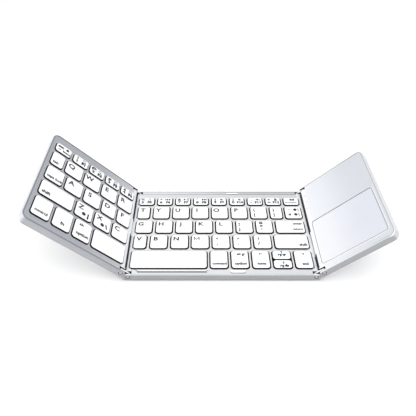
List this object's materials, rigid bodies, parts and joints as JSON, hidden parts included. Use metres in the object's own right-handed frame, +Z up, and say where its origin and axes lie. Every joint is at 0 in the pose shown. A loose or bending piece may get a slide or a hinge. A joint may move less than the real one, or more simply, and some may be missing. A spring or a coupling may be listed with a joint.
{
  "type": "folding_keyboard",
  "caption": "Three-part folding keyboard: silver sections with white keys, touchpad on the right wing, both wings raised 45 degrees on double-pin link hinges.",
  "frame": {"origin": "Centre of the centre section's footprint, on the plane of the feet soles.", "axes": "+X to the right along the row of keys, +Y from the typist to the back, +Z up from the desk."},
  "size_m": [0.2681, 0.099, 0.072],
  "materials": {
    "anodised_silver": "fine satin anodised aluminium with a polished edge",
    "silver_plastic": "silver-grey moulded cover, fine grain",
    "dark_plastic": "near-black moulded filler",
    "white_keys": "smooth white moulded caps with thin grey legends",
    "steel": "bright steel pins, screws, links and plates",
    "grey_rubber": "soft grey feet",
    "white_rubber": "white soft bumpers",
    "switch_film": "dark printed switch film with pads",
    "touch_surface": "fine etched touch surface",
    "board_green": "solder-masked circuit board",
    "cell_foil": "silver laminate pouch",
    "light_guide": "clear light guides"
  },
  "bodies": {
    "center": {"center_base": "silver_plastic", "center_deck": "anodised_silver", "center_key_plate": "steel", "center_switch_sheet": "switch_film", "center_feet": "grey_rubber", "center_screws": "steel", "center_hinge_pins": "steel", "center_hinge_rails": "dark_plastic", "center_bumpers": "white_rubber"},
    "left_link": {"left_link_plates": "steel"},
    "left_wing": {"left_base": "silver_plastic", "left_deck": "anodised_silver", "left_key_plate": "steel", "left_switch_sheet": "switch_film", "left_feet": "grey_rubber", "left_screws": "steel", "left_hinge_pins": "steel", "left_hinge_rail": "dark_plastic", "left_cable_cover": "anodised_silver"},
    "right_link": {"right_link_plates": "steel"},
    "right_wing": {"right_base": "silver_plastic", "right_deck": "anodised_silver", "touchpad": "touch_surface", "touchpad_board": "board_green", "battery": "cell_foil", "main_board": "board_green", "charging_port": "steel", "indicator_lights": "light_guide", "right_feet": "grey_rubber", "right_screws": "steel", "right_hinge_pins": "steel", "right_hinge_rail": "dark_plastic", "right_cable_cover": "anodised_silver"},
    "keys_5_to_equals_body": {"keys_5_to_equals": "white_keys"},
    "key_backspace_body": {"key_backspace": "white_keys"},
    "keys_t_to_bracket_body": {"keys_t_to_bracket": "white_keys"},
    "key_backslash_body": {"key_backslash": "white_keys"},
    "keys_g_to_quote_body": {"keys_g_to_quote": "white_keys"},
    "key_enter_body": {"key_enter": "white_keys"},
    "keys_v_to_slash_body": {"keys_v_to_slash": "white_keys"},
    "key_shift_right_body": {"key_shift_right": "white_keys"},
    "key_space_right_body": {"key_space_right": "white_keys"},
    "key_command_body": {"key_command": "white_keys"},
    "key_alt_right_body": {"key_alt_right": "white_keys"},
    "key_arrow_left_body": {"key_arrow_left": "white_keys"},
    "key_arrow_up_body": {"key_arrow_up": "white_keys"},
    "key_arrow_down_body": {"key_arrow_down": "white_keys"},
    "key_arrow_right_body": {"key_arrow_right": "white_keys"},
    "keys_1_to_4_body": {"keys_1_to_4": "white_keys"},
    "key_escape_body": {"key_escape": "white_keys"},
    "keys_q_to_r_body": {"keys_q_to_r": "white_keys"},
    "key_tab_body": {"key_tab": "white_keys"},
    "keys_a_to_f_body": {"keys_a_to_f": "white_keys"},
    "key_caps_lock_body": {"key_caps_lock": "white_keys"},
    "keys_z_to_c_body": {"keys_z_to_c": "white_keys"},
    "key_shift_left_body": {"key_shift_left": "white_keys"},
    "key_space_left_body": {"key_space_left": "white_keys"},
    "key_alt_left_body": {"key_alt_left": "white_keys"},
    "key_function_body": {"key_function": "white_keys"},
    "key_control_body": {"key_control": "white_keys"}
  },
  "joints": [
    {"name": "fold_left_link", "type": "hinge", "parent": "center", "child": "left_link", "pos_m": [-0.07395, 0, 0.0047], "axis": [0, 1, 0], "range_deg": [-45, 45]},
    {"name": "fold_left_wing", "type": "hinge", "parent": "left_link", "child": "left_wing", "pos_m": [-0.07904, 0, 0.00979], "axis": [0, 1, 0], "range_deg": [0, 90]},
    {"name": "fold_right_link", "type": "hinge", "parent": "center", "child": "right_link", "pos_m": [0.07395, 0, 0.0047], "axis": [0, -1, 0], "range_deg": [-45, 45]},
    {"name": "fold_right_wing", "type": "hinge", "parent": "right_link", "child": "right_wing", "pos_m": [0.07904, 0, 0.00979], "axis": [0, -1, 0], "range_deg": [0, 90]},
    {"name": "key_5_to_equals", "type": "slide", "parent": "center", "child": "keys_5_to_equals_body", "axis": [0, 0, -1], "range_m": [0, 0.0012], "stiffness_N_per_m": 400},
    {"name": "key_backspace", "type": "slide", "parent": "center", "child": "key_backspace_body", "axis": [0, 0, -1], "range_m": [0, 0.0012], "stiffness_N_per_m": 400},
    {"name": "key_t_to_bracket", "type": "slide", "parent": "center", "child": "keys_t_to_bracket_body", "axis": [0, 0, -1], "range_m": [0, 0.0012], "stiffness_N_per_m": 400},
    {"name": "key_backslash", "type": "slide", "parent": "center", "child": "key_backslash_body", "axis": [0, 0, -1], "range_m": [0, 0.0012], "stiffness_N_per_m": 400},
    {"name": "key_g_to_quote", "type": "slide", "parent": "center", "child": "keys_g_to_quote_body", "axis": [0, 0, -1], "range_m": [0, 0.0012], "stiffness_N_per_m": 400},
    {"name": "key_enter", "type": "slide", "parent": "center", "child": "key_enter_body", "axis": [0, 0, -1], "range_m": [0, 0.0012], "stiffness_N_per_m": 400},
    {"name": "key_v_to_slash", "type": "slide", "parent": "center", "child": "keys_v_to_slash_body", "axis": [0, 0, -1], "range_m": [0, 0.0012], "stiffness_N_per_m": 400},
    {"name": "key_shift_right", "type": "slide", "parent": "center", "child": "key_shift_right_body", "axis": [0, 0, -1], "range_m": [0, 0.0012], "stiffness_N_per_m": 400},
    {"name": "key_space_right", "type": "slide", "parent": "center", "child": "key_space_right_body", "axis": [0, 0, -1], "range_m": [0, 0.0012], "stiffness_N_per_m": 400},
    {"name": "key_command", "type": "slide", "parent": "center", "child": "key_command_body", "axis": [0, 0, -1], "range_m": [0, 0.0012], "stiffness_N_per_m": 400},
    {"name": "key_alt_right", "type": "slide", "parent": "center", "child": "key_alt_right_body", "axis": [0, 0, -1], "range_m": [0, 0.0012], "stiffness_N_per_m": 400},
    {"name": "key_arrow_left", "type": "slide", "parent": "center", "child": "key_arrow_left_body", "axis": [0, 0, -1], "range_m": [0, 0.0012], "stiffness_N_per_m": 400},
    {"name": "key_arrow_up", "type": "slide", "parent": "center", "child": "key_arrow_up_body", "axis": [0, 0, -1], "range_m": [0, 0.0012], "stiffness_N_per_m": 400},
    {"name": "key_arrow_down", "type": "slide", "parent": "center", "child": "key_arrow_down_body", "axis": [0, 0, -1], "range_m": [0, 0.0012], "stiffness_N_per_m": 400},
    {"name": "key_arrow_right", "type": "slide", "parent": "center", "child": "key_arrow_right_body", "axis": [0, 0, -1], "range_m": [0, 0.0012], "stiffness_N_per_m": 400},
    {"name": "key_1_to_4", "type": "slide", "parent": "left_wing", "child": "keys_1_to_4_body", "axis": [-0.7071, 0, -0.7071], "range_m": [0, 0.0012], "stiffness_N_per_m": 400},
    {"name": "key_escape", "type": "slide", "parent": "left_wing", "child": "key_escape_body", "axis": [-0.7071, 0, -0.7071], "range_m": [0, 0.0012], "stiffness_N_per_m": 400},
    {"name": "key_q_to_r", "type": "slide", "parent": "left_wing", "child": "keys_q_to_r_body", "axis": [-0.7071, 0, -0.7071], "range_m": [0, 0.0012], "stiffness_N_per_m": 400},
    {"name": "key_tab", "type": "slide", "parent": "left_wing", "child": "key_tab_body", "axis": [-0.7071, 0, -0.7071], "range_m": [0, 0.0012], "stiffness_N_per_m": 400},
    {"name": "key_a_to_f", "type": "slide", "parent": "left_wing", "child": "keys_a_to_f_body", "axis": [-0.7071, 0, -0.7071], "range_m": [0, 0.0012], "stiffness_N_per_m": 400},
    {"name": "key_caps_lock", "type": "slide", "parent": "left_wing", "child": "key_caps_lock_body", "axis": [-0.7071, 0, -0.7071], "range_m": [0, 0.0012], "stiffness_N_per_m": 400},
    {"name": "key_z_to_c", "type": "slide", "parent": "left_wing", "child": "keys_z_to_c_body", "axis": [-0.7071, 0, -0.7071], "range_m": [0, 0.0012], "stiffness_N_per_m": 400},
    {"name": "key_shift_left", "type": "slide", "parent": "left_wing", "child": "key_shift_left_body", "axis": [-0.7071, 0, -0.7071], "range_m": [0, 0.0012], "stiffness_N_per_m": 400},
    {"name": "key_space_left", "type": "slide", "parent": "left_wing", "child": "key_space_left_body", "axis": [-0.7071, 0, -0.7071], "range_m": [0, 0.0012], "stiffness_N_per_m": 400},
    {"name": "key_alt_left", "type": "slide", "parent": "left_wing", "child": "key_alt_left_body", "axis": [-0.7071, 0, -0.7071], "range_m": [0, 0.0012], "stiffness_N_per_m": 400},
    {"name": "key_function", "type": "slide", "parent": "left_wing", "child": "key_function_body", "axis": [-0.7071, 0, -0.7071], "range_m": [0, 0.0012], "stiffness_N_per_m": 400},
    {"name": "key_control", "type": "slide", "parent": "left_wing", "child": "key_control_body", "axis": [-0.7071, 0, -0.7071], "range_m": [0, 0.0012], "stiffness_N_per_m": 400}
  ]
}
